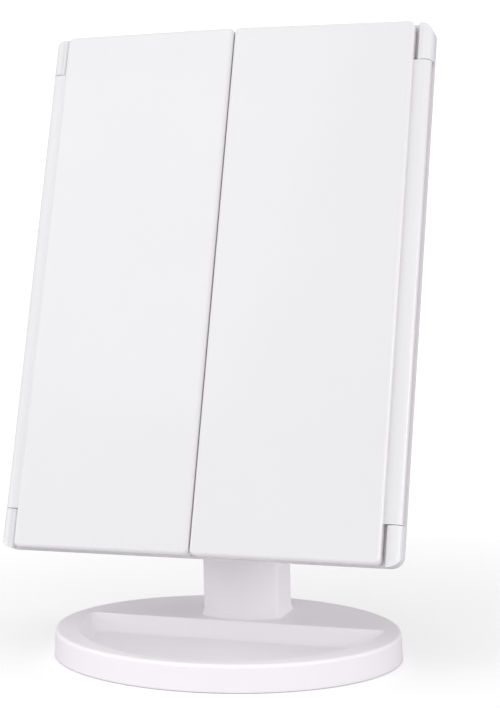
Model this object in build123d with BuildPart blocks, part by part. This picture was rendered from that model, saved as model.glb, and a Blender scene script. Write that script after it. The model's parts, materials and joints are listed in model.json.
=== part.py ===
from build123d import *

import os
from math import cos, radians, sin, sqrt

# Lighted tri-fold vanity mirror on a column stand, in millimetres.
#
# Frame: origin on the table under the middle of the oval base, +X to the
# viewer's right, +Y away from the viewer, +Z up.  The mirror head stands
# tilted back, with both wings folded shut over the main mirror.
#
# The base and column are drawn in this frame.  The head has its own measures:
# x to the right, depth behind the line through both wing hinges, and height
# above the head's lower edge, both of them along the tilted head.

os.makedirs("parts", exist_ok=True)

# ------------------------------------------------- dimensions shared by parts
# head
head_w = 182.4          # outside width of the frame
head_h = 240.7          # height of the head
head_tilt = 18.33       # lean back from upright, degrees
head_foot_y = -39.9     # hinge line at the head's lower edge
head_foot_z = 52.4
frame_depth = 5.4       # front frame, from the hinge line back
head_depth = 10.0       # frame and back cover together

# wing hinges
knuckle_len = 17.4      # fixed knuckle at each end of a hinge column
barrel_r = 3.15
barrel_x = 87.6
end_gap = 0.3           # axial gap between barrel and knuckle
pin_r = 1.5
bush_r = 2.2

# base
foot_h = 0.4
base_a, base_b = 80.1, 61.9   # half axes of the base's top
base_h = 11.7
base_top = foot_h + base_h
tray_back_y = 11.3            # straight back edge of the tray

# column and tilt axle
pivot_y, pivot_z = 29.5, 166.0
axle_r = 4.0
bay_z0, bay_z1 = 36.0, 144.0  # battery bay

# wiring
cable_r = 1.1
cable_x = 20.95               # where the cable runs forward through the bracket's ear
cable_hole_r = 1.7

pilot_r = 1.26                # screw holes in the base and column posts
screw_r = 1.25
reach = 60.0                  # long enough to pass through any piece it cuts
mask_w, mask_d = 400, 200     # rectangle that masks off half of a sketch

# ------------------------------------------------------------ planes and axes
tilt = radians(head_tilt)
UP = (0, sin(tilt), cos(tilt))         # up the head
FRONT = (0, -cos(tilt), sin(tilt))     # out of the main mirror
BACK = (0, cos(tilt), -sin(tilt))
up_axis = Axis((0, 0, 0), UP)
front_axis = Axis((0, 0, 0), FRONT)


def head_point(x, depth, height):
    """A point of the head: right, behind the hinge line, above its lower edge."""
    return (
        x,
        head_foot_y + depth * cos(tilt) + height * sin(tilt),
        head_foot_z - depth * sin(tilt) + height * cos(tilt),
    )


def face_plane(depth):
    """Parallel to the main mirror: sketch y up the head, normal to the front."""
    return Plane(origin=head_point(0, depth, 0), x_dir=(1, 0, 0), z_dir=FRONT)


def level_plane(height):
    """Square to the head's long side: sketch y to the back, normal up the head."""
    return Plane(origin=head_point(0, 0, height), x_dir=(1, 0, 0), z_dir=UP)


def rear_plane(depth):
    """Parallel to the main mirror but facing back: sketch x to the left."""
    return Plane(origin=head_point(0, depth, 0), x_dir=(-1, 0, 0), z_dir=BACK)


def rear_hole_plane(x, depth, height):
    """Faces back, with its origin on a screw of the head."""
    return Plane(origin=head_point(x, depth, height), x_dir=(1, 0, 0), z_dir=BACK)


def wall_plane(y):
    """Upright plane at y: sketch y is up, normal to the front (-Y)."""
    return Plane.XZ.offset(-y)


def down_plane(z):
    """Level plane facing down: its sketch y points to the front."""
    return Plane(origin=(0, 0, z), x_dir=(1, 0, 0), z_dir=(0, 0, -1))


# the tilt axle's place, measured on the head
pivot_dy, pivot_dz = pivot_y - head_foot_y, pivot_z - head_foot_z
pivot_depth = pivot_dy * cos(tilt) - pivot_dz * sin(tilt)
pivot_height = pivot_dy * sin(tilt) + pivot_dz * cos(tilt)

# square to the axle: sketch x to the head's back, sketch y up the head
pivot_plane = Plane(origin=(0, pivot_y, pivot_z), x_dir=BACK, z_dir=(1, 0, 0))


# ------------------------------------------------------------- shared helpers
def keep(builder, name):
    builder.part.label = name
    export_step(builder.part, f"parts/{name}.step")


def mirrored(*spots):
    """Each spot and its twin on the other side of x = 0."""
    return [(side * x, y) for x, y in spots for side in (1, -1)]


def turned_screws(plane, spots, shank_r, length, cap_r, cap_h, sunk=True):
    """Screws pointing into a plane, with a cross recess; one solid per spot.

    A sunk head lies below the plane and tapers; otherwise it stands on the plane.
    """
    if sunk:
        cap = [(0, 0), (cap_r, 0), (cap_r, -0.2), (shank_r, -cap_h)]
    else:
        cap = [
            (0, cap_h), (cap_r * 0.72, cap_h), (cap_r, cap_h * 0.55),
            (cap_r, 0), (shank_r, 0),
        ]
    shank = [
        (shank_r, -length + shank_r * 0.6), (shank_r * 0.35, -length), (0, -length),
    ]
    slot_len, slot_w = cap_r * 1.1, 0.5
    with BuildPart() as screws:
        for x, y in spots:
            at = plane.shift_origin(plane.from_local_coords((x, y, 0)))
            side = Plane(origin=at.origin, x_dir=at.x_dir, z_dir=at.y_dir * -1)
            with BuildSketch(side):
                with BuildLine():
                    Polyline(*cap, *shank, close=True)
                make_face()
            revolve(axis=Axis(at.origin, at.z_dir))
        with BuildSketch(plane.offset(0.0 if sunk else cap_h)):
            with Locations(*spots):
                Rectangle(slot_len, slot_w)
                Rectangle(slot_w, slot_len)
        extrude(amount=-min(0.9, cap_h * 0.7), mode=Mode.SUBTRACT)
    return screws


def wires(runs, bend_r, wire_r):
    """Round wires along lists of points, with rounded bends."""
    with BuildPart() as swept:
        for points in runs:
            with BuildLine() as run:
                FilletPolyline(*points, radius=bend_r)
            with BuildSketch(Plane(origin=run.line @ 0, z_dir=run.line % 0)):
                Circle(wire_r)
            sweep(path=run.line)
    return swept


def coil_springs(centers, pitch, height, radius, direction=(0, 0, 1)):
    """Coil springs of 0.5 mm wire, rising from their centres."""
    with BuildPart() as springs:
        for center in centers:
            with BuildLine() as coil:
                Helix(
                    pitch=pitch, height=height, radius=radius,
                    center=center, direction=direction,
                )
            with BuildSketch(Plane(origin=coil.line @ 0, z_dir=coil.line % 0)):
                Circle(0.25)
            sweep(path=coil.line, is_frenet=True)
    return springs


# ======================================================================= BASE
base_draft = 0.5
base_wall = 2.2
tray_a, tray_b = 71.4, 67.9   # half ellipse of the tray's rim, forward of its back edge
floor_a, floor_b = 64.0, 47.9 # the same at the tray's floor
floor_back_y = 4.0
tray_depth = 7.3
rim_corner, floor_corner = 2.2, 5.0
tray_curl = 0.45              # share of the shrinking that gathers near the floor

plate_seat = 1.6              # recess under the base for the base plate
plate_thick = 1.5
plate_gap = 0.25
boss_r = 3.5
foot_r, foot_recess = 6.5, 0.7

boss_spots = mirrored((62, 21), (30, 49), (44, -45.4))   # base plate screws
neck_spots = mirrored((11, 21.5), (11, 39.5))            # column screws
foot_spots = mirrored((48, 32), (50, -28))


def tray_outline(a, b, back_y, corner):
    """D-shaped outline: the front half of an ellipse with a straight back."""
    with BuildSketch() as sk:
        with Locations((0, back_y)):
            Ellipse(a, b)
        with Locations((0, back_y + mask_d / 2)):
            Rectangle(mask_w, mask_d, mode=Mode.SUBTRACT)
        fillet(sk.vertices(), corner)
    return sk.sketch


# the tray is a bowl: its outline shrinks, and its back edge moves forward, with
# depth; steps are shares of the depth, the first one above the base's top
with BuildPart() as tray_hollow:
    for step in (-0.12, 0.0, 0.3, 0.6, 0.85, 1.0):
        curl = tray_curl * (1 - sqrt(1 - step * step)) if step > 0 else 0.0
        blend = (1 - tray_curl) * step + curl
        with BuildSketch(Plane.XY.offset(base_top - tray_depth * step)):
            add(tray_outline(
                tray_a + (floor_a - tray_a) * blend,
                tray_b + (floor_b - tray_b) * blend,
                tray_back_y + (floor_back_y - tray_back_y) * blend,
                rim_corner + (floor_corner - rim_corner) * blend,
            ))
    loft()

with BuildPart() as base_tray:
    with BuildSketch(Plane.XY.offset(foot_h)):
        Ellipse(base_a + base_draft, base_b + base_draft)
    with BuildSketch(Plane.XY.offset(base_top)):
        Ellipse(base_a, base_b)
    loft()
    fillet(base_tray.faces().sort_by(Axis.Z)[-1].edges(), 1.5)
    add(tray_hollow.part, mode=Mode.SUBTRACT)
    rim = base_tray.faces().filter_by(Plane.XY).sort_by(Axis.Z)[-1].inner_wires()[0]
    fillet(rim.edges(), 0.7)
    # hollow underside behind the tray, and the seat for the base plate
    with BuildSketch(Plane.XY.offset(foot_h)):
        Ellipse(base_a - base_wall, base_b - base_wall)
        with Locations((0, tray_back_y + 3 - mask_d / 2)):
            Rectangle(mask_w, mask_d, mode=Mode.SUBTRACT)
    extrude(amount=base_h - base_wall, mode=Mode.SUBTRACT)
    with BuildSketch(Plane.XY.offset(foot_h)):
        Ellipse(base_a - base_wall, base_b - base_wall)
    extrude(amount=plate_seat, mode=Mode.SUBTRACT)
    # screw posts, running 0.3 into the top wall
    with BuildSketch(Plane.XY.offset(foot_h + plate_seat)):
        with Locations(*boss_spots):
            Circle(boss_r)
    extrude(amount=base_h - plate_seat - base_wall + 0.3)
    with BuildSketch(Plane.XY.offset(foot_h)):
        with Locations(*boss_spots):
            Circle(pilot_r)
    extrude(amount=7.6, mode=Mode.SUBTRACT)
    # holes for the four screws of the column
    with BuildSketch(Plane.XY.offset(base_top - 4)):
        with Locations(*neck_spots):
            Circle(1.7)
    extrude(amount=6, mode=Mode.SUBTRACT)
keep(base_tray, "base_tray")

with BuildPart() as base_plate:
    with BuildSketch(Plane.XY.offset(foot_h)):
        Ellipse(base_a - base_wall - plate_gap, base_b - base_wall - plate_gap)
    extrude(amount=plate_thick)
    chamfer(base_plate.faces().sort_by(Axis.Z)[0].edges(), 0.4)
    # recesses for the feet
    with BuildSketch(Plane.XY.offset(foot_h)):
        with Locations(*foot_spots):
            Circle(foot_r + 0.1)
    extrude(amount=foot_recess, mode=Mode.SUBTRACT)
    for x, y in boss_spots:
        with Locations(Plane(origin=(x, y, foot_h), z_dir=(0, 0, -1))):
            CounterSinkHole(1.6, 3.1, 3)
    # openings under the column screws
    with BuildSketch(Plane.XY.offset(foot_h)):
        with Locations(*neck_spots):
            Circle(3.4)
    extrude(amount=plate_thick, mode=Mode.SUBTRACT)
keep(base_plate, "base_plate")

with BuildPart() as rubber_feet:
    with BuildSketch(Plane.XY):
        with Locations(*foot_spots):
            Circle(foot_r)
    extrude(amount=foot_h + foot_recess - 0.02)
    fillet(rubber_feet.faces().filter_by(Plane.XY).group_by(Axis.Z)[0].edges(), 0.35)
keep(rubber_feet, "rubber_feet")

# weight in the hollow behind the tray, cut out round the screws
with BuildPart() as ballast_plate:
    with BuildSketch(Plane.XY.offset(foot_h + plate_seat + 0.1)):
        Ellipse(base_a - base_wall - 1.0, base_b - base_wall - 1.0)
        with Locations((0, tray_back_y + 3.6 - mask_d / 2)):
            Rectangle(mask_w, mask_d, mode=Mode.SUBTRACT)
        with Locations(*boss_spots):
            Circle(boss_r + 0.6, mode=Mode.SUBTRACT)
        with Locations(*neck_spots):
            Circle(3.6, mode=Mode.SUBTRACT)
    extrude(amount=5.2)
keep(ballast_plate, "ballast_plate")

base_screws = turned_screws(
    down_plane(foot_h), [(x, -y) for x, y in boss_spots],
    shank_r=screw_r, length=7.0, cap_r=2.8, cap_h=1.3,
)
keep(base_screws, "base_screws")

# ===================================================================== COLUMN
col_w = 36.6
col_front_y, col_bow_y = 20.5, 14.5      # sides start, front bow's crest
col_rear_y, col_rear_bow_y = 42.5, 44.5  # sides end, rear bow's crest
col_corner = 3.0
col_wall = 2.0
col_head_r = 15.0
axle_boss_r = 7.2
col_floor = 2.2                          # bottom wall

# foot flare: height above the base's top, outward growth
flare_sections = [(0, 1.3), (0.7, 0.75), (2.6, 0.01)]

door_x, door_z0, door_z1 = 15.8, 33.0, 147.0   # half width, bottom, top
door_gap = 0.2
rebate_y = 42.2
lug_x = 9.0                              # the two top lugs of the door
bottom_lug_w, top_lug_w = 8.1, 4.1
lug_gap = 0.3                            # slots are this much wider than the lugs

socket_spot = (-7.5, 22)                 # x, z on the column's back
switch_spot = (7.5, 22)


def column_outline(grow=0.0):
    """Column section: straight sides, bowed front, slightly bowed back."""
    half_w = col_w / 2
    with BuildSketch() as sk:
        with BuildLine():
            ThreePointArc((-half_w, col_front_y), (0, col_bow_y), (half_w, col_front_y))
            Line((half_w, col_front_y), (half_w, col_rear_y))
            ThreePointArc((half_w, col_rear_y), (0, col_rear_bow_y), (-half_w, col_rear_y))
            Line((-half_w, col_rear_y), (-half_w, col_front_y))
        make_face()
        fillet(sk.vertices(), col_corner)
        if grow:
            offset(amount=grow, mode=Mode.REPLACE)
    return sk.sketch


def column_side(grow=0.0):
    """Column seen from the side: straight up, with a round head on the axle."""
    side_r = col_head_r + grow
    with BuildSketch(Plane.YZ) as sk:
        with Locations((pivot_y, (base_top + pivot_z) / 2)):
            Rectangle(60, pivot_z - base_top)
        with Locations((pivot_y, pivot_z)):
            Circle(side_r)
        # no wider than the round head near the axle
        for side in (-1, 1):
            with Locations((pivot_y + side * (40 + side_r), pivot_z)):
                Rectangle(80, 60, mode=Mode.SUBTRACT)
    return sk.sketch


with BuildPart() as column_shell:
    with BuildSketch(Plane.XY.offset(base_top)):
        add(column_outline())
    extrude(amount=pivot_z + 20 - base_top)
    extrude(column_side(), amount=reach, both=True, mode=Mode.INTERSECT)
    # flared foot
    for height, grow in flare_sections:
        with BuildSketch(Plane.XY.offset(base_top + height)):
            add(column_outline(grow))
    loft(ruled=True)
    # hollow inside
    with BuildSketch(Plane.XY.offset(base_top + col_floor)):
        add(column_outline(-col_wall))
    extrude(amount=bay_z1 + 2 - base_top - col_floor, mode=Mode.SUBTRACT)
    # hollow head round the axle boss
    with BuildPart(mode=Mode.PRIVATE) as head_void:
        with BuildSketch(Plane.XY.offset(bay_z1 + 3.5)):
            add(column_outline(-col_wall))
        extrude(amount=reach)
        extrude(column_side(-col_wall), amount=reach, both=True, mode=Mode.INTERSECT)
        with BuildSketch(Plane.YZ):
            with Locations((pivot_y, pivot_z)):
                Circle(axle_boss_r)
        extrude(amount=reach, both=True, mode=Mode.SUBTRACT)
    add(head_void.part, mode=Mode.SUBTRACT)
    # axle bore
    with BuildSketch(Plane.YZ):
        with Locations((pivot_y, pivot_z)):
            Circle(axle_r + 0.05)
    extrude(amount=reach, both=True, mode=Mode.SUBTRACT)
    # wiring way up into the axle
    with BuildSketch(Plane.XY.offset(bay_z1 - 1)):
        with Locations((0, 26)):
            Rectangle(6, 13)
    extrude(amount=6, mode=Mode.SUBTRACT)
    with BuildSketch(Plane.XY.offset(bay_z1)):
        with Locations((0, pivot_y)):
            Rectangle(6, 6)
    extrude(amount=pivot_z - bay_z1, mode=Mode.SUBTRACT)
    # battery opening and the door's rebate
    with BuildSketch(Plane.XY.offset(bay_z0)):
        with Locations((0, 45)):
            Rectangle(29.8, 12)
    extrude(amount=bay_z1 - bay_z0, mode=Mode.SUBTRACT)
    with BuildSketch(Plane.XY.offset(door_z0 - door_gap)):
        with Locations((0, rebate_y + 5)):
            Rectangle(2 * (door_x + door_gap), 10)
    extrude(amount=door_z1 - door_z0 + 2 * door_gap, mode=Mode.SUBTRACT)
    # slots in the rebate for the door's locating lugs
    with BuildSketch(Plane.XY.offset(door_z0)):
        with Locations((0, 41)):
            Rectangle(bottom_lug_w + lug_gap, 4)
    extrude(amount=bay_z0 - door_z0 + 0.1, mode=Mode.SUBTRACT)
    with BuildSketch(Plane.XY.offset(bay_z1 - 0.1)):
        with Locations(*mirrored((lug_x, 41))):
            Rectangle(top_lug_w + lug_gap, 4)
    extrude(amount=door_z1 - bay_z1, mode=Mode.SUBTRACT)
    # power socket and switch windows low on the back
    with BuildSketch(wall_plane(50)):
        with Locations(socket_spot):
            RectangleRounded(8.6, 3.6, 1.2)
        with Locations(switch_spot):
            RectangleRounded(7.2, 3.2, 0.6)
    extrude(amount=14, mode=Mode.SUBTRACT)
    # posts for the screws from the base
    with BuildSketch(Plane.XY.offset(base_top + 2)):
        with Locations(*neck_spots):
            Circle(2.6)
    extrude(amount=5.5)
    with BuildSketch(Plane.XY.offset(base_top)):
        with Locations(*neck_spots):
            Circle(pilot_r)
    extrude(amount=6.6, mode=Mode.SUBTRACT)
keep(column_shell, "column_shell")

column_screws = turned_screws(
    down_plane(base_top - base_wall), [(x, -y) for x, y in neck_spots],
    shank_r=screw_r, length=7.6, cap_r=2.6, cap_h=1.5, sunk=False,
)
keep(column_screws, "column_screws")

# ----------------------------------------------------------- door and battery
with BuildPart() as battery_door:
    # the slice of the column section behind the rebate
    with BuildSketch(Plane.XY.offset(door_z0)):
        add(column_outline())
        with Locations((0, rebate_y + 0.15 - 50)):
            Rectangle(200, 100, mode=Mode.SUBTRACT)
        with Locations(*mirrored((door_x + 50, 40))):
            Rectangle(100, 100, mode=Mode.SUBTRACT)
    extrude(amount=door_z1 - door_z0)
    # finger grooves
    with BuildSketch(wall_plane(46)):
        with GridLocations(0, 2.2, 1, 4):
            with Locations((0, door_z0 + 11)):
                RectangleRounded(13, 1.0, 0.45)
    extrude(amount=2.3, mode=Mode.SUBTRACT)
    # locating lugs: one at the bottom, two at the top
    with BuildSketch(Plane.XY.offset(door_z0 + 0.3)):
        with Locations((0, 41.8)):
            Rectangle(bottom_lug_w, 1.6)
    extrude(amount=2.5)
    with BuildSketch(Plane.XY.offset(bay_z1 + 0.2)):
        with Locations(*mirrored((lug_x, 41.8))):
            Rectangle(top_lug_w, 1.6)
    extrude(amount=2.3)
keep(battery_door, "battery_door")

# four cells: two side by side, two high
cell_r, cell_len = 7.15, 50.0    # length includes the nub
cell_y = 34.0
cell_spots = mirrored((7.45, cell_y))
nub_r, nub_len = 2.6, 1.0
cell_low = bay_z0 + 4.5
cell_bottoms = (cell_low, cell_low + cell_len + 0.4)
tray_end_wall = 1.5
contact_size = 9.0

with BuildPart() as battery_tray:
    with BuildSketch(Plane.XY.offset(bay_z0)):
        with Locations((0, 32.5)):
            Rectangle(31.8, 15.4)
    extrude(amount=bay_z1 - bay_z0)
    # troughs for two columns of cells, open to the back
    with BuildSketch(Plane.XY.offset(bay_z0 + tray_end_wall)):
        with Locations(*cell_spots):
            Circle(cell_r + 0.25)
        with Locations((0, cell_y + 5)):
            Rectangle(29.6, 10.1)
    extrude(amount=bay_z1 - bay_z0 - 2 * tray_end_wall, mode=Mode.SUBTRACT)
keep(battery_tray, "battery_tray")

with BuildPart() as battery_cells:
    for z in cell_bottoms:
        with BuildSketch(Plane.XY.offset(z)):
            with Locations(*cell_spots):
                Circle(cell_r)
        extrude(amount=cell_len - nub_len)
    fillet(battery_cells.edges().filter_by(GeomType.CIRCLE), 0.5)
    for z in cell_bottoms:
        with BuildSketch(Plane.XY.offset(z + cell_len - nub_len)):
            with Locations(*cell_spots):
                Circle(nub_r)
        extrude(amount=nub_len)
keep(battery_cells, "battery_cells")

with BuildPart() as battery_contacts:
    # top plates, then bottom plates
    for z, thick in ((bay_z1 - 2.2, 0.5), (bay_z0 + 1.6, 0.4)):
        with BuildSketch(Plane.XY.offset(z)):
            with Locations(*cell_spots):
                Rectangle(contact_size, contact_size)
        extrude(amount=thick)
keep(battery_contacts, "battery_contacts")

battery_springs = coil_springs(
    [(x, y, bay_z0 + 2.4) for x, y in cell_spots], pitch=0.7, height=1.6, radius=3.4
)
keep(battery_springs, "battery_springs")

# ------------------------------------------------------ power socket and switch
socket_back_y = 43.6
switch_back_y = 41.6
knob_x, knob_z = 6.25, 22

with BuildPart() as power_board:
    with BuildSketch(wall_plane(36)):
        with Locations((0, 25)):
            Rectangle(30, 13)
    extrude(amount=1.2)
keep(power_board, "power_board")

with BuildPart() as power_socket:
    with BuildSketch(wall_plane(socket_back_y)):
        with Locations(socket_spot):
            RectangleRounded(8.0, 3.0, 1.0)
    extrude(amount=7.5)
    with BuildSketch(wall_plane(socket_back_y)):
        with Locations(socket_spot):
            RectangleRounded(7.2, 2.2, 0.8)
    extrude(amount=6.0, mode=Mode.SUBTRACT)
    # tongue
    with BuildSketch(wall_plane(41.5)):
        with Locations(socket_spot):
            Rectangle(4.6, 0.6)
    extrude(amount=4.5)
keep(power_socket, "power_socket")

with BuildPart() as power_switch_body:
    with BuildSketch(wall_plane(switch_back_y)):
        with Locations(switch_spot):
            Rectangle(9.4, 4.6)
    extrude(amount=5.5)
    with BuildSketch(wall_plane(switch_back_y)):
        with Locations(switch_spot):
            Rectangle(6.6, 1.9)
    extrude(amount=2.5, mode=Mode.SUBTRACT)
keep(power_switch_body, "power_switch_body")

with BuildPart() as power_switch_knob:
    # stem, then the wider cap behind it
    with BuildSketch(wall_plane(39.3)):
        with Locations((knob_x, knob_z)):
            Rectangle(3.0, 1.6)
    extrude(amount=-6.6)
    with BuildSketch(wall_plane(44.6)):
        with Locations((knob_x, knob_z)):
            Rectangle(3.4, 2.4)
    extrude(amount=-1.4)
    # grip grooves
    with BuildSketch(wall_plane(46.2)):
        with Locations(*[(knob_x + shift, knob_z) for shift in (-1, 0, 1)]):
            Rectangle(0.35, 2.6)
    extrude(amount=0.5, mode=Mode.SUBTRACT)
keep(power_switch_knob, "power_switch_knob")

# from the power board, up in front of the battery bay, into the axle
column_cable_path = [
    (0, 33.9, 29), (0, 22.0, 34), (0, 22.0, 143.5),
    (0, pivot_y, 152), (0, pivot_y, pivot_z + 0.9),
]
column_cable = wires([column_cable_path], bend_r=3, wire_r=cable_r)
keep(column_cable, "column_cable")

# ================================================================= TILT HINGE
ear_in, ear_out = 18.9, 25.4   # ear faces, from the middle
ear_r = 10.5
ear_root_h = 31.0              # ear's height where it meets the plate
plate_t = 3.0                  # bracket plate
bracket_back = head_depth + plate_t
nut_seat_x = 23.0              # floor of the recess in each ear's outer face
bracket_spots = mirrored((27.9, 21.39), (27.9, -21.39))   # x, height from the axle
bracket_spots = [(x, pivot_height + y) for x, y in bracket_spots]
axle_bore_r = 2.25
window_size = 6.7              # square window in the axle
window_shift = 1.65            # its centre, back of and below the axle's centre

with BuildPart() as hinge_bracket:
    with BuildSketch(face_plane(bracket_back)):
        with Locations((0, pivot_height)):
            RectangleRounded(66, 58, 7)
    extrude(amount=plate_t)
    fillet(hinge_bracket.faces().sort_by(front_axis)[0].edges(), 1.2)
    # two ears, rooted in the plate
    ear_reach = pivot_depth - head_depth - 1.0
    for side in (1, -1):
        with BuildSketch(pivot_plane.offset(side * (ear_in + ear_out) / 2)):
            Circle(ear_r)
            with Locations((-ear_reach, 0)):
                Rectangle(0.5, ear_root_h)
            make_hull()
        extrude(amount=(ear_out - ear_in) / 2, both=True)
    for side in (1, -1):
        ear_rim = hinge_bracket.edges().filter_by_position(
            Axis.X, side * ear_out - 0.01, side * ear_out + 0.01
        )
        chamfer(ear_rim.filter_by(GeomType.CIRCLE), 0.6)
    with BuildSketch(pivot_plane):
        Circle(axle_r + 0.02)
    extrude(amount=reach, both=True, mode=Mode.SUBTRACT)
    # recesses for the washers and nuts
    for side in (1, -1):
        with BuildSketch(pivot_plane.offset(side * nut_seat_x)):
            Circle(7.6)
        extrude(amount=side * 5, mode=Mode.SUBTRACT)
    # wiring channel forward through the right ear
    with BuildSketch(face_plane(pivot_depth)):
        with Locations((cable_x, pivot_height)):
            Circle(cable_hole_r)
    extrude(amount=reach, mode=Mode.SUBTRACT)
    for x, height in bracket_spots:
        with Locations(rear_hole_plane(x, bracket_back, height)):
            CounterSinkHole(1.7, 3.35, plate_t + 1)
keep(hinge_bracket, "hinge_bracket")

bracket_screws = turned_screws(
    rear_plane(bracket_back), [(-x, height) for x, height in bracket_spots],
    shank_r=1.4, length=6.8, cap_r=3.0, cap_h=1.6,
)
keep(bracket_screws, "bracket_screws")

with BuildPart() as hinge_axle:
    with BuildSketch(pivot_plane):
        Circle(axle_r)
        Circle(axle_bore_r, mode=Mode.SUBTRACT)
    extrude(amount=24.9, both=True)
    # window for the wires from the column
    with BuildSketch(pivot_plane):
        with Locations((window_shift, -window_shift)):
            Rectangle(window_size, window_size)
    extrude(amount=2.2, both=True, mode=Mode.SUBTRACT)
    # wires leave forward, into the right ear
    with BuildSketch(face_plane(pivot_depth)):
        with Locations((cable_x, pivot_height)):
            Circle(cable_hole_r)
    extrude(amount=10, mode=Mode.SUBTRACT)
keep(hinge_axle, "hinge_axle")

# washers on the axle: name, inner face from the middle, outer radius
for name, washer_x, washer_r in (
    ("friction_washers", 18.35, 9.0),
    ("spring_washers", nut_seat_x + 0.05, 6.6),
):
    with BuildPart() as washers:
        for side in (1, -1):
            with BuildSketch(pivot_plane.offset(side * washer_x)):
                Circle(washer_r)
                Circle(axle_r + 0.1, mode=Mode.SUBTRACT)
            extrude(amount=side * 0.5)
    keep(washers, name)

with BuildPart() as axle_nuts:
    for side in (1, -1):
        with BuildSketch(pivot_plane.offset(side * 23.6)):
            RegularPolygon(6.6, 6)
            Circle(axle_r + 0.03, mode=Mode.SUBTRACT)
        extrude(amount=side * 1.3)
keep(axle_nuts, "axle_nuts")

with BuildPart() as hinge_caps:
    for side in (1, -1):
        with BuildSketch(pivot_plane.offset(side * 25.0)):
            Circle(7.5)
        extrude(amount=side * 1.1)
    cap_faces = hinge_caps.faces().filter_by(Axis.X).sort_by(Axis.X)
    fillet(cap_faces[-1].edges() + cap_faces[0].edges(), 0.6)
keep(hinge_caps, "hinge_caps")

# along the axle, forward through the ear, then down inside the head
head_cable_path = [
    head_point(1.3, pivot_depth, pivot_height),
    head_point(cable_x, pivot_depth, pivot_height),
    head_point(cable_x, 6.0, pivot_height),
    head_point(cable_x, 6.0, 41.0),
]
head_cable = wires([head_cable_path], bend_r=2, wire_r=cable_r)
keep(head_cable, "head_cable")

# ================================================================ MIRROR HEAD
head_corner = 5.5        # corner radius seen from the front
channel_r = 3.65         # clearance the frame leaves round a wing barrel
channel_z0, channel_z1 = knuckle_len, head_h - knuckle_len
knuckle_in = 84.5        # flat inner side of the fixed knuckles
knuckle_w, knuckle_d = 3.0, 4.8    # block between the frame and the round knuckle
pin_hole_end = 5.0       # solid knuckle beyond the pin hole
front_clear = 6.0        # cuts reach this far forward of the hinge line
barrel_spots = mirrored((barrel_x, 0))

recess_depth = 2.6       # floor of the recess for glass and light window
window_w, window_h, window_z = 156.0, 222.0, 121.0    # light window, centre height
glass_w, glass_h, glass_z = 133.6, 210.8, 115.4       # main mirror, centre height
glass_back = 2.2
glass_gap = 0.2

strip_x = 72.5           # middle of the side lights
top_strip_z = 226.5      # middle of the top light
slot_w = 8.0
board_w = 7.4
board_depth, board_t = 6.8, 1.2    # back of the boards, and their thickness
led_long, led_short = 3.5, 2.8
touch_z = 24             # touch button

post_depth = 7.9         # rear end of the back cover's screw posts
cover_wall = 2.0
cover_inset = 0.5        # the back cover is this much smaller all round
cover_spots = [(x, height) for x in (54, -54) for height in (16, 96, 206)]

with BuildPart() as mirror_frame:
    with BuildSketch(face_plane(frame_depth)):
        with Locations((0, head_h / 2)):
            RectangleRounded(head_w, head_h, head_corner)
    extrude(amount=frame_depth)
    # hinge columns: knuckles at the corners, flat on the wing's side
    for side in (1, -1):
        with BuildSketch(level_plane(0)):
            with Locations((side * (knuckle_in + knuckle_w / 2), -0.4)):
                Rectangle(knuckle_w, knuckle_d)
        extrude(amount=head_h)
    fillet(
        mirror_frame.edges().filter_by(up_axis).filter_by(
            lambda e: abs(abs(e.center().X) - knuckle_in) < 0.01
        ).sort_by(front_axis)[-2:], 1.0,
    )
    with BuildSketch(level_plane(0)):
        with Locations(*barrel_spots):
            Circle(barrel_r)
    extrude(amount=head_h)
    # trim the columns to the head's rounded outline
    with BuildSketch(face_plane(frame_depth)):
        with Locations((0, head_h / 2)):
            RectangleRounded(head_w, head_h, head_corner)
    extrude(amount=frame_depth + front_clear, mode=Mode.INTERSECT)
    # room for the wing barrels between the knuckles
    with BuildSketch(level_plane(channel_z0)):
        for side in (1, -1):
            with Locations((
                side * (barrel_x - channel_r + front_clear), (channel_r - front_clear) / 2
            )):
                Rectangle(2 * front_clear, channel_r + front_clear)
    extrude(amount=channel_z1 - channel_z0, mode=Mode.SUBTRACT)
    # recess for the glass and the light window
    with BuildSketch(face_plane(recess_depth)):
        with Locations((0, window_z)):
            RectangleRounded(window_w + 0.4, window_h + 0.4, 2)
    extrude(amount=4, mode=Mode.SUBTRACT)
    # space behind for the boards
    with BuildSketch(face_plane(frame_depth)):
        with Locations((0, head_h / 2)):
            Rectangle(2 * 80.9, head_h - 4)
    extrude(amount=frame_depth - 4.0, mode=Mode.SUBTRACT)
    # light slots left, right and top, and the hole behind the touch button
    with BuildSketch(face_plane(4.5)):
        with Locations(*mirrored((strip_x, 122))):
            Rectangle(slot_w, 217)
        with Locations((0, top_strip_z)):
            Rectangle(153, slot_w)
        with Locations((0, touch_z)):
            Circle(7)
    extrude(amount=3, mode=Mode.SUBTRACT)
    # posts for the back cover's screws
    with BuildSketch(face_plane(post_depth)):
        with Locations(*cover_spots):
            Circle(3)
    extrude(amount=3.95)
    with BuildSketch(face_plane(post_depth)):
        with Locations(*cover_spots):
            Circle(1.11)
    extrude(amount=4.6, mode=Mode.SUBTRACT)
    # pin holes in the knuckles
    for height in (pin_hole_end, channel_z1):
        with BuildSketch(level_plane(height)):
            with Locations(*barrel_spots):
                Circle(pin_r + 0.01)
        extrude(amount=knuckle_len - pin_hole_end, mode=Mode.SUBTRACT)
keep(mirror_frame, "mirror_frame")

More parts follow.
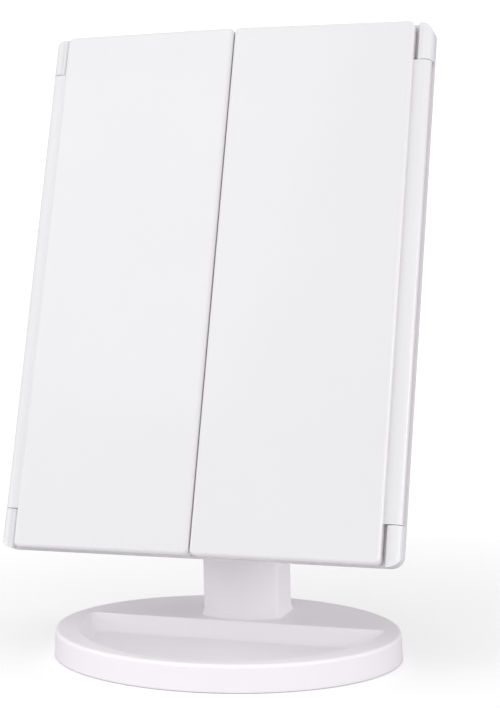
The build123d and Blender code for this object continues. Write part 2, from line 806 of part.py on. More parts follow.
with BuildPart() as back_cover:
    with BuildSketch(face_plane(head_depth)):
        with Locations((0, head_h / 2)):
            RectangleRounded(
                head_w - 2 * cover_inset, head_h - 2 * cover_inset, head_corner - cover_inset
            )
    extrude(amount=head_depth - frame_depth)
    fillet(back_cover.faces().sort_by(front_axis)[0].edges(), 2.6)
    with BuildSketch(face_plane(head_depth - cover_wall)):
        with Locations((0, head_h / 2)):
            RectangleRounded(head_w - 6.0, head_h - 6.0, head_corner - 3)
    extrude(amount=4, mode=Mode.SUBTRACT)
    # screw bosses inside, behind which the bracket sits
    with BuildSketch(face_plane(head_depth - 1.9)):
        with Locations(*bracket_spots):
            Circle(3.2)
    extrude(amount=3.2)
    # bracket screw holes and the cable's way in
    with BuildSketch(face_plane(head_depth + 0.1)):
        with Locations(*bracket_spots):
            Circle(1.41)
        with Locations((cable_x, pivot_height)):
            Circle(1.8)
    extrude(amount=4.6, mode=Mode.SUBTRACT)
    for x, height in cover_spots:
        with Locations(rear_hole_plane(x, head_depth, height)):
            CounterSinkHole(1.3, 2.75, 3)
keep(back_cover, "back_cover")

back_cover_screws = turned_screws(
    rear_plane(head_depth), [(-x, height) for x, height in cover_spots],
    shank_r=1.1, length=6.2, cap_r=2.4, cap_h=1.3,
)
keep(back_cover_screws, "back_cover_screws")

with BuildPart() as main_mirror:
    with BuildSketch(face_plane(glass_back)):
        with Locations((0, glass_z)):
            RectangleRounded(glass_w, glass_h, 1.0)
    extrude(amount=2.0)
    chamfer(main_mirror.faces().sort_by(front_axis)[-1].edges(), 0.4)
keep(main_mirror, "main_mirror")

# light window round the mirror's sides and top; the cutout runs out at the bottom
cutout_run = 10.0
with BuildPart() as light_diffuser:
    with BuildSketch(face_plane(recess_depth)):
        with Locations((0, window_z)):
            RectangleRounded(window_w, window_h, 1.8)
        with Locations((0, glass_z - cutout_run / 2)):
            Rectangle(
                glass_w + 2 * glass_gap, glass_h + 2 * glass_gap + cutout_run,
                mode=Mode.SUBTRACT,
            )
    extrude(amount=2.4)
    fillet(light_diffuser.faces().sort_by(front_axis)[-1].edges(), 0.4)
keep(light_diffuser, "light_diffuser")

with BuildPart() as mirror_tape:
    with BuildSketch(face_plane(recess_depth)):
        with Locations(*mirrored((56, 125)), (0, 125)):
            Rectangle(14, 170)
    extrude(amount=recess_depth - glass_back)
keep(mirror_tape, "mirror_tape")

# ---------------------------------------------------------------- electronics
with BuildPart() as led_boards:
    with BuildSketch(face_plane(board_depth)):
        with Locations(*mirrored((strip_x, 120))):
            Rectangle(board_w, 196)
        with Locations((0, top_strip_z)):
            Rectangle(120, board_w)
    extrude(amount=board_t)
keep(led_boards, "led_boards")

with BuildPart() as leds:
    with BuildSketch(face_plane(board_depth - board_t)):
        with Locations(*mirrored((strip_x, 120))):
            with GridLocations(0, 30, 1, 7):
                Rectangle(led_short, led_long)
        with Locations((0, top_strip_z)):
            with GridLocations(18, 0, 7, 1):
                Rectangle(led_long, led_short)
    extrude(amount=1.0)
keep(leds, "leds")

with BuildPart() as control_board:
    with BuildSketch(face_plane(board_depth)):
        with Locations((0, 26)):
            Rectangle(50, 28)
    extrude(amount=board_t)
keep(control_board, "control_board")

# chips on the board's back: x, height, width, length up the head
chips = [(-12, 28, 6, 5), (6, 30, 3, 3), (12, 20, 4, 2.4), (-2, 18, 3, 1.6)]
chip_t = 0.9
with BuildPart() as control_chips:
    with BuildSketch(face_plane(board_depth + chip_t)):
        for x, height, chip_w, chip_l in chips:
            with Locations((x, height)):
                Rectangle(chip_w, chip_l)
    extrude(amount=chip_t)
keep(control_chips, "control_chips")

with BuildPart() as touch_electrode:
    with BuildSketch(face_plane(2.45)):
        with Locations((0, touch_z)):
            Circle(6)
    extrude(amount=0.25)
keep(touch_electrode, "touch_electrode")

touch_spring = coil_springs(
    [head_point(0, 5.3, touch_z)], pitch=0.85, height=2.5, radius=2.4, direction=FRONT
)
keep(touch_spring, "touch_spring")

# wire runs as (x, height): control board to each side strip, right strip to top
wire_depth = 6.2
led_wire_runs = [
    [(25.2, 30), (50, 42), (68.4, 42)],
    [(-25.2, 30), (-50, 42), (-68.4, 42)],
    [(68.4, 206), (61, 212), (60.5, 221), (58, 222.4)],
]
led_wires = wires(
    [[head_point(x, wire_depth, height) for x, height in run] for run in led_wire_runs],
    bend_r=1.5, wire_r=0.55,
)
keep(led_wires, "led_wires")

# ---------------------------------------------------------------- wing hinges
pin_len = 20.5
bush_len = 9.5
bush_gap = end_gap + 0.2     # from knuckle to bush

for side, side_name in ((1, "right"), (-1, "left")):
    with BuildPart() as pins:
        for height in (5.5, channel_z1 - 9.0):
            with BuildSketch(level_plane(height)):
                with Locations((side * barrel_x, 0)):
                    Circle(pin_r)
            extrude(amount=pin_len)
    keep(pins, f"{side_name}_hinge_pins")

    with BuildPart() as bushes:
        for height in (channel_z0 + bush_gap, channel_z1 - bush_gap - bush_len):
            with BuildSketch(level_plane(height)):
                with Locations((side * barrel_x, 0)):
                    Circle(bush_r)
                    Circle(pin_r + 0.05, mode=Mode.SUBTRACT)
            extrude(amount=bush_len)
    keep(bushes, f"{side_name}_hinge_bushes")

# ====================================================================== WINGS
wing_gap = 0.4          # slit between the closed wings
free_x = wing_gap / 2   # free edge
wing_edge_x = 83.2      # wing edge beside the hinge column
wing_back = 0.4         # clearance between wing and frame when shut
wing_t_hinge = 6.4      # wing outer face, forward of the hinge line, at the hinge
wing_t_free = 8.4       # and at the free edge
wing_wall = 2.0
wing_face_wall = 1.6    # wall behind the outer face
wing_round = 1.6        # rounding round a wing's outer face
wing_corner = 2.6
wing_end = 0.2          # wing stops this far inside the head's ends
bush_seat = 11.5        # depth of the bush bore at each end of the barrel
wing_slope = (wing_t_free - wing_t_hinge) / (wing_edge_x - free_x)


def outer_face(x):
    """How far the wing's outer face stands forward of the hinge line at x."""
    return wing_t_free - wing_slope * (x - free_x)


with BuildPart() as right_wing_cover:
    with BuildSketch(level_plane(wing_end)):
        with BuildLine():
            Polyline(
                (free_x, -wing_back), (wing_edge_x, -wing_back),
                (wing_edge_x, -wing_t_hinge), (free_x, -wing_t_free), close=True,
            )
        make_face()
    extrude(amount=head_h - 2 * wing_end)
    fillet(right_wing_cover.edges().filter_by(front_axis), wing_corner)
    fillet(right_wing_cover.faces().sort_by(front_axis)[-1].edges(), wing_round)
    # hollow from the mirror side
    hollow_x0, hollow_x1 = free_x + wing_wall, wing_edge_x - wing_wall
    with BuildSketch(level_plane(wing_end + wing_wall)):
        with BuildLine():
            Polyline(
                (hollow_x0, 1), (hollow_x1, 1),
                (hollow_x1, -(outer_face(hollow_x1) - wing_face_wall)),
                (hollow_x0, -(outer_face(hollow_x0) - wing_face_wall)), close=True,
            )
        make_face()
    extrude(amount=head_h - 2 * (wing_end + wing_wall), mode=Mode.SUBTRACT)
    # hinge barrel and the web that carries it, flush with the barrel's front
    with BuildSketch(level_plane(channel_z0 + end_gap)):
        with Locations((barrel_x, 0)):
            Circle(barrel_r)
        with BuildLine():
            Polyline(
                (wing_edge_x - 1.0, -wing_back), (barrel_x, -wing_back),
                (barrel_x, -barrel_r), (wing_edge_x - 1.0, -barrel_r), close=True,
            )
        make_face()
    extrude(amount=channel_z1 - channel_z0 - 2 * end_gap)
    # bush bores
    for height in (channel_z0 + end_gap, channel_z1 - end_gap - bush_seat):
        with BuildSketch(level_plane(height)):
            with Locations((barrel_x, 0)):
                Circle(bush_r + 0.01)
        extrude(amount=bush_seat, mode=Mode.SUBTRACT)
keep(right_wing_cover, "right_wing_cover")

with BuildPart() as left_wing_cover:
    add(mirror(right_wing_cover.part, about=Plane.YZ, mode=Mode.PRIVATE))
keep(left_wing_cover, "left_wing_cover")

# inner frames fill the covers' hollows; mirror panes lie in pockets in them
inner_inset = wing_wall + 0.1
inner_w = wing_edge_x - free_x - 2 * inner_inset
inner_h = head_h - 2 * (wing_end + inner_inset)
inner_x = (free_x + wing_edge_x) / 2
pane_x0, pane_x1 = 6.5, 77.5
pane_z0, pane_z1 = 7.0, 233.0
pane_x, pane_w = (pane_x0 + pane_x1) / 2, pane_x1 - pane_x0
pane_h = pane_z1 - pane_z0
pane_back = -wing_back - 0.2    # depth of the panes' mirror side
pocket_gap = 0.3                # pockets are this much larger than the panes
pane_corner, pocket_corner = 1.3, 1.5

# the left wing's two magnifying panes
split_z, split_half = 103.0, 3.0
# name: lower edge, upper edge, sphere radius
left_panes = {
    "left_wing_mirror_2x": (split_z + split_half, pane_z1, 2100.0),
    "left_wing_mirror_3x": (pane_z0, split_z - split_half, 1400.0),
}

with BuildPart() as right_wing_frame:
    with BuildSketch(face_plane(-wing_back)):
        with Locations((inner_x, head_h / 2)):
            Rectangle(inner_w, inner_h)
    extrude(amount=3.6)
    with BuildSketch(face_plane(-wing_back)):
        with Locations((pane_x, head_h / 2)):
            RectangleRounded(pane_w + pocket_gap, pane_h + pocket_gap, pocket_corner)
    extrude(amount=2.5, mode=Mode.SUBTRACT)
keep(right_wing_frame, "right_wing_frame")

with BuildPart() as right_wing_mirror:
    with BuildSketch(face_plane(pane_back)):
        with Locations((pane_x, head_h / 2)):
            RectangleRounded(pane_w, pane_h, pane_corner)
    extrude(amount=2.0)
    chamfer(right_wing_mirror.faces().sort_by(front_axis)[0].edges(), 0.4)
keep(right_wing_mirror, "right_wing_mirror")

with BuildPart() as right_wing_tape:
    with BuildSketch(face_plane(pane_back - 2.0)):
        with Locations((pane_x - 22, head_h / 2), (pane_x + 22, head_h / 2)):
            Rectangle(12, 190)
    extrude(amount=0.3)
keep(right_wing_tape, "right_wing_tape")

with BuildPart() as left_wing_frame:
    with BuildSketch(face_plane(-wing_back)):
        with Locations((-inner_x, head_h / 2)):
            Rectangle(inner_w, inner_h)
    extrude(amount=4.1)
    with BuildSketch(face_plane(-wing_back)):
        for low, high, _ in left_panes.values():
            with Locations((-pane_x, (low + high) / 2)):
                RectangleRounded(pane_w + pocket_gap, high - low + pocket_gap, pocket_corner)
    extrude(amount=3.1, mode=Mode.SUBTRACT)
keep(left_wing_frame, "left_wing_frame")

# concave panes: a sphere hollows the mirror side, out to the pane's corners
for name, (low, high, sphere_r) in left_panes.items():
    middle = (low + high) / 2
    sag = ((pane_w / 2) ** 2 + ((high - low) / 2) ** 2) / (2 * sphere_r)
    with BuildPart() as magnifier:
        with BuildSketch(face_plane(pane_back)):
            with Locations((-pane_x, middle)):
                RectangleRounded(pane_w, high - low, pane_corner)
        extrude(amount=2.6)
        with Locations(head_point(-pane_x, pane_back - sag + sphere_r, middle)):
            Sphere(sphere_r, mode=Mode.SUBTRACT)
    keep(magnifier, name)

with BuildPart() as left_wing_tape:
    with BuildSketch(face_plane(pane_back - 2.6)):
        for low, high, _ in left_panes.values():
            middle = (low + high) / 2
            with Locations((-pane_x - 24, middle), (-pane_x + 24, middle)):
                Rectangle(10, high - low - 20)
    extrude(amount=0.3)
keep(left_wing_tape, "left_wing_tape")
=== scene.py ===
# A lit table mirror: a tilted mirror head above a tray base. Metres, +Z up.
# The base stands on z = 0, the glass faces front (-Y) and the head leans back (+Y).
import json
import math
from functools import cache

import bpy
import bmesh
from mathutils import Matrix, Vector


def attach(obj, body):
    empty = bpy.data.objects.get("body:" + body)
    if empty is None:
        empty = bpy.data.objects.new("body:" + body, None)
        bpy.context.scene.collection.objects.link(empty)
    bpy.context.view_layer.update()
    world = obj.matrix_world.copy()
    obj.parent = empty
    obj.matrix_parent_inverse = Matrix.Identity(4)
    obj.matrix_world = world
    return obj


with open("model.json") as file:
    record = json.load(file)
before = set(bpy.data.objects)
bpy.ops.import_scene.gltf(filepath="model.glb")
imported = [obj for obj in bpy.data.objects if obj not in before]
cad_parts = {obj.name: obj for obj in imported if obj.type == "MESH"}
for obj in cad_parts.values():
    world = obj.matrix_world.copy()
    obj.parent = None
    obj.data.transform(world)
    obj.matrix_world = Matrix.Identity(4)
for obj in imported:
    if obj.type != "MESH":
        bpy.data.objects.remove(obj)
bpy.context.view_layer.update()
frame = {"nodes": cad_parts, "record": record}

MM = 0.001
nodes = frame["nodes"]
scene = bpy.context.scene


def add_object(name, data):
    """Puts a new object holding the data in the scene."""
    made = bpy.data.objects.new(name, data)
    scene.collection.objects.link(made)
    return made


# ------------------------------------------------------------------ shader helpers
def feed(target, value):
    """Links a socket into the target, or sets the target to a plain value."""
    if isinstance(value, bpy.types.NodeSocket):
        target.id_data.links.new(value, target)
    else:
        target.default_value = value


def add_node(tree, kind, inputs=None, **settings):
    node = tree.nodes.new("ShaderNode" + kind)
    for key, value in settings.items():
        setattr(node, key, value)
    for key, value in (inputs or {}).items():
        feed(node.inputs[key], value)
    return node


def noise(vector, scale, detail=3.0, roughness=0.55):
    inputs = {"Scale": scale, "Detail": detail, "Roughness": roughness, "Vector": vector}
    return add_node(vector.id_data, "TexNoise", inputs).outputs["Fac"]


def ramp(value, low, high, start=0.3, end=0.7):
    """Eases from low to high as the value goes from start to end."""
    inputs = {"From Min": start, "From Max": end, "To Min": low, "To Max": high, "Value": value}
    node = add_node(value.id_data, "MapRange", inputs, interpolation_type="SMOOTHSTEP")
    return node.outputs["Result"]


def mix(factor, first, second):
    """Blends two colours."""
    node = add_node(factor.id_data, "Mix", {0: factor}, data_type="RGBA")
    colour_inputs = [socket for socket in node.inputs if socket.type == "RGBA"]
    feed(colour_inputs[0], first)
    feed(colour_inputs[1], second)
    return [socket for socket in node.outputs if socket.type == "RGBA"][0]


def calculate(operation, first, second):
    node = add_node(first.id_data, "Math", {0: first, 1: second}, operation=operation)
    return node.outputs[0]


def rgba(colour, gain=1.0, lift=0.0):
    return tuple(min(1.0, c * gain + lift) for c in colour) + (1.0,)


# ------------------------------------------------------------------ finishes
def drifting_colour(coord, colour, tint, scale):
    """Broad drift between a darker and a lighter shade, with a finer speckle."""
    broad = ramp(noise(coord, scale, detail=4), low=0, high=1)
    drift = mix(broad, rgba(colour, 1 - tint), rgba(colour, 1 + tint * 0.6))
    fine = ramp(noise(coord, scale * 14, detail=2), low=0, high=0.5)
    return mix(fine, drift, rgba(colour))


def wear_and_edge_highlight(coord, shade, colour, wear, metallic):
    """Brightens edges in patches, from a rounded normal against the true one: partly rubbed
    wear, partly a painted edge highlight.
    """
    tree = coord.id_data
    rounded = add_node(tree, "Bevel", {"Radius": 0.5 * MM}, samples=4)
    true = add_node(tree, "NewGeometry")
    normals = {0: rounded.outputs[0], 1: true.outputs["Normal"]}
    match = add_node(tree, "VectorMath", normals, operation="DOT_PRODUCT")
    edge_mask = ramp(match.outputs["Value"], low=1.0, high=0.0, start=0.80, end=0.99)
    patches = ramp(noise(coord, scale=160), low=0.25, high=wear * 6, start=0.35, end=0.7)
    amount = calculate("MINIMUM", calculate("MULTIPLY", edge_mask, patches), 0.5)
    return mix(amount, shade, rgba(colour, gain=1.10 if metallic < 0.5 else 1.3, lift=0.02))


def painted_corner_shade(tree, shade, colour, corner_shade, gap, shade_tint):
    """Painted shade: tints sheltered corners and darkens the deepest gaps if gap is set, from
    ambient occlusion.
    """
    shelter = add_node(tree, "AmbientOcclusion", {"Distance": 4 * MM}, samples=4)
    openness = shelter.outputs["AO"]
    shade_colour = rgba([c * k for c, k in zip(colour, shade_tint)])
    shade = mix(ramp(openness, low=corner_shade, high=0.0, start=0.1, end=0.75), shade, shade_colour)
    if gap:
        deep = ramp(openness, low=gap, high=0.0, start=0.02, end=0.28)
        shade = mix(deep, shade, rgba(colour, gain=0.30))
    return shade


def surface(
    name, colour, rough=0.4, rough_var=0.06, metallic=0.0, tint=0.03, tint_scale=25.0,
    bump=0.02, bump_scale=900.0, edge=0.06, corner_shade=0.10, gap=0.0,
    shade_tint=(0.72, 0.72, 0.72), coat=0.0, coat_rough=0.1, subsurface=0.0,
    specular=0.5, stretch=(1, 1, 1), smudge=0.0, transmission=0.0, ior=1.46,
):
    """One finish: colour drift, roughness drift, fine grain, edges brightened partly by wear
    and partly as a painted highlight, and painted shade in corners and gaps.

    stretch scales the space of the grain and roughness noise along each axis."""
    material = bpy.data.materials.new(name)
    material.use_nodes = True
    tree = material.node_tree
    tree.nodes.clear()
    output = add_node(tree, "OutputMaterial")
    bsdf = add_node(tree, "BsdfPrincipled")
    feed(output.inputs[0], bsdf.outputs[0])
    coord = add_node(tree, "TexCoord").outputs["Object"]
    stretched = add_node(tree, "Mapping", {"Scale": stretch, "Vector": coord}).outputs[0]

    shade = drifting_colour(coord, colour, tint, tint_scale)
    # edges brightened in patches, partly rubbed wear and partly a painted edge highlight
    if edge:
        shade = wear_and_edge_highlight(coord, shade, colour, edge, metallic)
    # painted shade: sheltered corners and gaps darkened and tinted from ambient occlusion
    if corner_shade:
        shade = painted_corner_shade(tree, shade, colour, corner_shade, gap, shade_tint)
    roughness = ramp(
        noise(stretched, tint_scale * 3),
        low=max(0.02, rough - rough_var), high=min(1, rough + rough_var))
    if smudge:
        smears = noise(coord, scale=38, detail=5, roughness=0.6)
        smears = ramp(smears, low=0.0, high=smudge, start=0.35, end=0.75)
        roughness = calculate("ADD", roughness, smears)

    values = {
        "Base Color": shade, "Roughness": roughness, "Metallic": metallic,
        "Specular IOR Level": specular, "IOR": ior,
    }
    if coat:
        values.update({"Coat Weight": coat, "Coat Roughness": coat_rough})
    if subsurface:
        values.update({
            "Subsurface Weight": subsurface, "Subsurface Scale": 1.0,
            "Subsurface Radius": (0.002, 0.0016, 0.0014)})
    if transmission:
        values["Transmission Weight"] = transmission
    if bump:
        grain = {"Strength": bump, "Distance": 0.0004, "Height": noise(stretched, bump_scale)}
        values["Normal"] = add_node(tree, "Bump", grain).outputs[0]
    for key, value in values.items():
        feed(bsdf.inputs[key], value)
    return material


# surface() arguments for each material slot
FINISHES = {
    "shell_white": dict(
        colour=(0.855, 0.852, 0.862), rough=0.34, rough_var=0.03, tint=0.008, tint_scale=14,
        bump_scale=1400, coat=0.45, coat_rough=0.12, subsurface=0.04, smudge=0.02,
        edge=0.05, corner_shade=0.20, gap=0.22, shade_tint=(0.80, 0.64, 0.77)),
    "base_white": dict(
        colour=(0.895, 0.868, 0.900), rough=0.42, rough_var=0.03, tint=0.008, tint_scale=14,
        bump_scale=1200, subsurface=0.04, smudge=0.02, edge=0.0, corner_shade=0.36,
        shade_tint=(0.80, 0.70, 0.79), specular=0.25),
    "plate_white": dict(
        colour=(0.78, 0.78, 0.80), rough=0.55, bump=0.10, bump_scale=1500, corner_shade=0.2),
    "inner_white": dict(
        colour=(0.84, 0.84, 0.845), rough=0.42, tint=0.015, bump=0.05, bump_scale=1500,
        corner_shade=0.2),
    "feet_rubber": dict(
        colour=(0.035, 0.035, 0.038), rough=0.75, tint=0.15, bump=0.18, bump_scale=2200,
        edge=0.10, specular=0.35),
    "ballast_steel": dict(
        colour=(0.40, 0.41, 0.42), metallic=1.0, rough=0.42, tint=0.10, bump=0.08,
        bump_scale=500, stretch=(1, 14, 1)),
    "screw_steel": dict(
        colour=(0.62, 0.62, 0.64), metallic=1.0, rough=0.28, tint=0.06, bump=0.04,
        bump_scale=1500, edge=0.2),
    "axle_steel": dict(
        colour=(0.66, 0.66, 0.68), metallic=1.0, rough=0.22, tint=0.05, bump=0.05,
        stretch=(30, 1, 1)),
    "washer_steel": dict(
        colour=(0.48, 0.48, 0.50), metallic=1.0, rough=0.33, tint=0.08, bump=0.05,
        bump_scale=1200),
    "washer_plastic": dict(
        colour=(0.78, 0.77, 0.72), rough=0.38, tint=0.02, bump=0.05, bump_scale=1600,
        subsurface=0.1),
    "mirror_glass": dict(
        colour=(0.93, 0.945, 0.945), metallic=1.0, rough=0.012, rough_var=0.004, tint=0.004,
        bump=0.0, edge=0.0, corner_shade=0.0),
    "diffuser": dict(
        colour=(0.90, 0.91, 0.92), rough=0.55, tint=0.01, bump=0.06, bump_scale=2400,
        transmission=0.55, ior=1.49, corner_shade=0.08, edge=0.03),
    "foam_tape": dict(
        colour=(0.10, 0.10, 0.105), rough=0.9, tint=0.25, tint_scale=300, bump=0.35,
        bump_scale=1600, specular=0.2),
    "led_board": dict(colour=(0.86, 0.87, 0.84), bump=0.04, bump_scale=1600),
    "led": dict(
        colour=(0.95, 0.83, 0.35), rough=0.3, tint=0.06, tint_scale=300, bump=0.05,
        bump_scale=2500, coat=0.6, subsurface=0.2),
    "green_board": dict(
        colour=(0.015, 0.16, 0.055), rough=0.33, tint=0.15, tint_scale=120, bump=0.10,
        coat=0.4),
    "chip_black": dict(
        colour=(0.02, 0.02, 0.022), rough=0.5, tint=0.2, bump=0.12, bump_scale=2500),
    "copper": dict(
        colour=(0.85, 0.48, 0.26), metallic=1.0, rough=0.3, tint=0.12, tint_scale=120,
        bump=0.05),
    "contact_metal": dict(
        colour=(0.72, 0.70, 0.64), metallic=1.0, rough=0.27, tint=0.08, bump=0.05),
    "spring_metal": dict(
        colour=(0.70, 0.69, 0.67), metallic=1.0, rough=0.22, tint=0.06, bump=0.03),
    "cell_wrap": dict(
        colour=(0.03, 0.035, 0.05), rough=0.28, tint=0.15, bump=0.03, coat=0.6),
    "tray_black": dict(
        colour=(0.03, 0.03, 0.033), rough=0.55, tint=0.2, bump=0.15, bump_scale=1800),
    "socket_metal": dict(
        colour=(0.60, 0.60, 0.62), metallic=1.0, rough=0.3, tint=0.08, bump=0.05),
    "switch_black": dict(
        colour=(0.022, 0.022, 0.024), rough=0.5, tint=0.2, bump=0.2, bump_scale=2200),
    "cable_white": dict(
        colour=(0.78, 0.78, 0.78), rough=0.5, bump=0.06, bump_scale=1800),
    "wire_red": dict(
        colour=(0.55, 0.03, 0.025), rough=0.42, tint=0.08, bump=0.05, bump_scale=1800),
}


@cache
def slot_material(slot):
    return surface(slot, **FINISHES[slot])


slot_of = {part["node"]: part["material_slot"] for part in frame["record"]["subparts"]}
for name, piece in nodes.items():
    material = slot_material(slot_of[name])
    if not piece.material_slots:
        piece.data.materials.append(material)
    for slot in piece.material_slots:
        slot.material = material

# ------------------------------------------------------------------ touch mark
# A frosted on/off ring on the main mirror, over the touch electrode. Sizes in millimetres.
HEAD_TILT = math.radians(18.33)
HEAD_FOOT = Vector((0.0, -0.0399, 0.0524))  # origin of the head's tilted axes, metres
HEAD_UP = Vector((0.0, math.sin(HEAD_TILT), math.cos(HEAD_TILT)))
HEAD_BACK = Vector((0.0, math.cos(HEAD_TILT), -math.sin(HEAD_TILT)))
MARK_THICK = 0.05
RING_INNER, RING_OUTER = 3.35, 4.05
RING_GAP = 38  # degrees left open on each side of the top
RING_STEPS = 60
BAR_FOOT, BAR_LENGTH = 0.9, 4.1
BAR_HALF_WIDTH = 0.35
BAR_TAPER = 0.17  # share of each half of the bar that narrows to its end
BAR_STEPS = 12

glass_vertices = nodes["main_mirror"].data.vertices
glass_front = min((v.co - HEAD_FOOT).dot(HEAD_BACK) for v in glass_vertices)
pad_vertices = nodes["touch_electrode"].data.vertices
pad_height = sum((v.co - HEAD_FOOT).dot(HEAD_UP) for v in pad_vertices) / len(pad_vertices)


def on_glass(x, height, lift):
    """A point at x and height from the ring's middle, lifted off the glass."""
    return (HEAD_FOOT + Vector((x * MM, 0, 0)) + HEAD_UP * (pad_height + height * MM)
            + HEAD_BACK * (glass_front - lift * MM))


def add_strip(mesh, side_a, side_b):
    """A thin closed solid between two matching rows of points on the glass."""
    low, top = [
        [[mesh.verts.new(on_glass(x, height, lift)) for x, height in row]
         for row in (side_a, side_b)]
        for lift in (0.0, MARK_THICK)]
    last = len(side_a) - 1
    for i in range(last):
        mesh.faces.new((top[0][i], top[0][i + 1], top[1][i + 1], top[1][i]))
        mesh.faces.new((low[0][i], low[1][i], low[1][i + 1], low[0][i + 1]))
        mesh.faces.new((low[0][i], low[0][i + 1], top[0][i + 1], top[0][i]))
        mesh.faces.new((low[1][i + 1], low[1][i], top[1][i], top[1][i + 1]))
    for i in (0, last):
        mesh.faces.new((low[0][i], top[0][i], top[1][i], low[1][i]))


def ring_arc(radius):
    angles = [math.radians(90 + RING_GAP + (360 - 2 * RING_GAP) * i / RING_STEPS)
              for i in range(RING_STEPS + 1)]
    return [(radius * math.cos(angle), radius * math.sin(angle)) for angle in angles]


def bar_side(side):
    """One long edge of the bar: side is -1 towards -X or 1 towards +X."""
    points = []
    for i in range(BAR_STEPS + 1):
        along = i / BAR_STEPS
        into_taper = max(0.0, abs(along - 0.5) * 2 - (1 - BAR_TAPER))
        width = BAR_HALF_WIDTH * math.sqrt(max(0.05, 1 - into_taper ** 2 / BAR_TAPER ** 2))
        points.append((side * width, BAR_FOOT + BAR_LENGTH * along))
    return points


def add_touch_mark():
    data = bpy.data.meshes.new("touch_mark")
    mesh = bmesh.new()
    add_strip(mesh, ring_arc(RING_INNER), ring_arc(RING_OUTER))
    add_strip(mesh, bar_side(-1), bar_side(1))
    bmesh.ops.recalc_face_normals(mesh, faces=mesh.faces)
    mesh.to_mesh(data)
    mesh.free()
    data.materials.append(surface(
        "frosted_mark", colour=(0.86, 0.88, 0.90), rough=0.6, rough_var=0.08, tint=0.04,
        tint_scale=300, bump=0.15, bump_scale=5000, edge=0, corner_shade=0))
    return add_object("touch_mark", data)


touch_mark = add_touch_mark()
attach(touch_mark, "mirror_head")

# ------------------------------------------------------------------ floor
FLOOR_HALF_WIDTH = 8.0
FLOOR_FRONT = -9.0
SWEEP_START = 2.6  # y where the floor starts to curve up into the back wall
SWEEP_RADIUS = 1.2
SWEEP_STEPS = 24
WALL_TOP = 5.0
FLOOR_GLOW = 0.22  # next to the mirror
FLOOR_GLOW_GAIN = 0.30  # added far from the mirror


def add_floor():
    """A flat floor that sweeps up into a wall at the back."""
    profile = [(FLOOR_FRONT, 0.0), (0.0, 0.0), (1.2, 0.0)]  # y, z
    for i in range(SWEEP_STEPS + 1):
        angle = i / SWEEP_STEPS * math.pi / 2
        profile.append((SWEEP_START + SWEEP_RADIUS * math.sin(angle),
                        SWEEP_RADIUS - SWEEP_RADIUS * math.cos(angle)))
    profile.append((SWEEP_START + SWEEP_RADIUS, WALL_TOP))

    data = bpy.data.meshes.new("floor")
    mesh = bmesh.new()
    rows = [[mesh.verts.new((x, y, z)) for x in (-FLOOR_HALF_WIDTH, 0.0, FLOOR_HALF_WIDTH)]
            for y, z in profile]
    for near, far in zip(rows, rows[1:]):
        for k in range(2):
            mesh.faces.new((near[k], near[k + 1], far[k + 1], far[k]))
    mesh.to_mesh(data)
    mesh.free()
    for polygon in data.polygons:
        polygon.use_smooth = True
    return add_object("floor", data)


def floor_material():
    """White to the camera, but darker in the light it bounces onto the mirror."""
    material = surface(
        "floor_white", colour=(0.93, 0.93, 0.93), rough=0.8, tint=0.004, bump=0.01,
        bump_scale=60, edge=0, corner_shade=0, specular=0.1)
    tree = material.node_tree
    bsdf = tree.nodes["Principled BSDF"]
    ray = add_node(tree, "LightPath").outputs
    position = add_node(tree, "NewGeometry").outputs["Position"]

    # the glow is only for the camera, so it doesn't light the object; it is weaker next to the
    # mirror, which paints a soft shade on the floor around the base
    distance = add_node(tree, "VectorMath", {0: position}, operation="LENGTH")
    spread = ramp(distance.outputs["Value"], low=FLOOR_GLOW, high=FLOOR_GLOW + FLOOR_GLOW_GAIN,
                  start=0.14, end=0.7)
    glow = add_node(tree, "Math", {0: spread, 1: ray["Is Camera Ray"]},
                    operation="MULTIPLY", name="glow")
    feed(bsdf.inputs["Emission Color"], (1.0, 1.0, 1.0, 1.0))
    feed(bsdf.inputs["Emission Strength"], 0.12)  # stands in if the link is cut
    feed(bsdf.inputs["Emission Strength"], glow.outputs[0])

    # more bounce in front than behind, which keeps the shade under the head
    seen = bsdf.inputs["Base Color"].links[0].from_socket
    split = add_node(tree, "SeparateXYZ", {0: position})
    behind = ramp(split.outputs["Y"], low=0.0, high=1.0, start=-0.02, end=0.12)
    bounce = mix(behind, (0.66, 0.64, 0.66, 1.0), (0.36, 0.33, 0.355, 1.0))
    reflected = mix(ray["Is Glossy Ray"], bounce, (0.62, 0.62, 0.63, 1.0))
    feed(bsdf.inputs["Base Color"], mix(ray["Is Camera Ray"], reflected, seen))
    return material


floor = add_floor()
floor.data.materials.append(floor_material())

# ------------------------------------------------------------------ world and lights
ROOM_LIGHT = 0.87  # strength of the world as a light
ROOM_SEEN = 1.1  # strength of the world as the camera sees it

# name, place, point aimed at, width and height, watts
LAMPS = [
    ("key", (-0.95, -1.55, 1.55), (0, 0, 0.12), (1.0, 1.0), 3.6),
    ("front", (0.35, -2.2, 0.55), (0, 0, 0.12), (1.2, 0.8), 1.6),
    ("side", (1.5, -1.0, 0.35), (0, 0, 0.1), (0.8, 0.6), 2.6),
    ("rim", (1.7, 0.15, 0.30), (0, 0, 0.12), (0.6, 0.6), 5.0),
    ("left", (-1.45, -1.25, 0.40), (0, 0, 0.08), (0.7, 0.6), 4.2),
    ("tray_lamp", (-0.12, -0.62, 0.58), (0, -0.02, 0.01), (0.4, 0.4), 1.1),
]


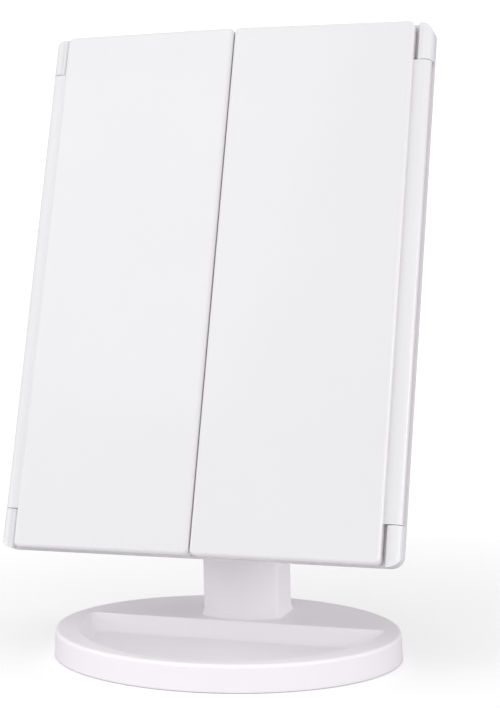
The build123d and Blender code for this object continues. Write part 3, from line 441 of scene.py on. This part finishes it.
def add_world():
    world = bpy.data.worlds.new("studio")
    scene.world = world
    world.use_nodes = True
    tree = world.node_tree
    ray = add_node(tree, "LightPath").outputs["Is Camera Ray"]
    limits = {"To Min": ROOM_LIGHT, "To Max": ROOM_SEEN, "Value": ray}
    strength = add_node(tree, "MapRange", limits).outputs["Result"]
    background = tree.nodes["Background"]
    feed(background.inputs[0], (1.0, 1.0, 1.0, 1.0))
    feed(background.inputs[1], 0.42)  # stands in if the link is cut
    feed(background.inputs[1], strength)


def add_lamp(name, place, target, size, power):
    light = bpy.data.lights.new(name, "AREA")
    light.shape = "RECTANGLE"
    light.size, light.size_y = size
    light.energy = power
    lamp = add_object(name, light)
    lamp.location = place
    lamp.rotation_euler = (Vector(target) - Vector(place)).to_track_quat("-Z", "Y").to_euler()
    return lamp


add_world()
lamps = {entry[0]: add_lamp(*entry) for entry in LAMPS}

# the tray lamp lights only the base, so the tray reads as open under the head
tray_lamp = lamps["tray_lamp"]
tray_lamp.visible_camera = False
tray_lamp.visible_glossy = False
lit = bpy.data.collections.new("lit_by_tray_lamp")
lit.objects.link(nodes["base_tray"])
tray_lamp.light_linking.receiver_collection = lit

scene.view_settings.view_transform = "Standard"
scene.view_settings.look = "None"
scene.view_settings.exposure = 0.0

# ------------------------------------------------------------------ camera
CAMERA_PLACE = Vector((0.25006, -0.70913, 0.20519))
CAMERA_YAW = math.radians(-18.426)  # from +Y towards +X
CAMERA_PITCH = math.radians(-5.235)
CAMERA_ROLL = math.radians(-1.082)


def add_camera():
    forward = Vector((
        math.sin(CAMERA_YAW) * math.cos(CAMERA_PITCH),
        math.cos(CAMERA_YAW) * math.cos(CAMERA_PITCH),
        math.sin(CAMERA_PITCH)))
    level = forward.cross(Vector((0, 0, 1))).normalized()
    upright = level.cross(forward)
    right = math.cos(CAMERA_ROLL) * level + math.sin(CAMERA_ROLL) * upright
    up = -math.sin(CAMERA_ROLL) * level + math.cos(CAMERA_ROLL) * upright
    pose = Matrix((right, up, -forward)).transposed().to_4x4()
    pose.translation = CAMERA_PLACE

    data = bpy.data.cameras.new("camera")
    data.lens = 85.82
    data.sensor_width = 36.0
    data.clip_start = 0.01
    camera = add_object("camera", data)
    camera.matrix_world = pose
    scene.camera = camera


add_camera()

# ------------------------------------------------------------------ update the scene
bpy.context.view_layer.update()
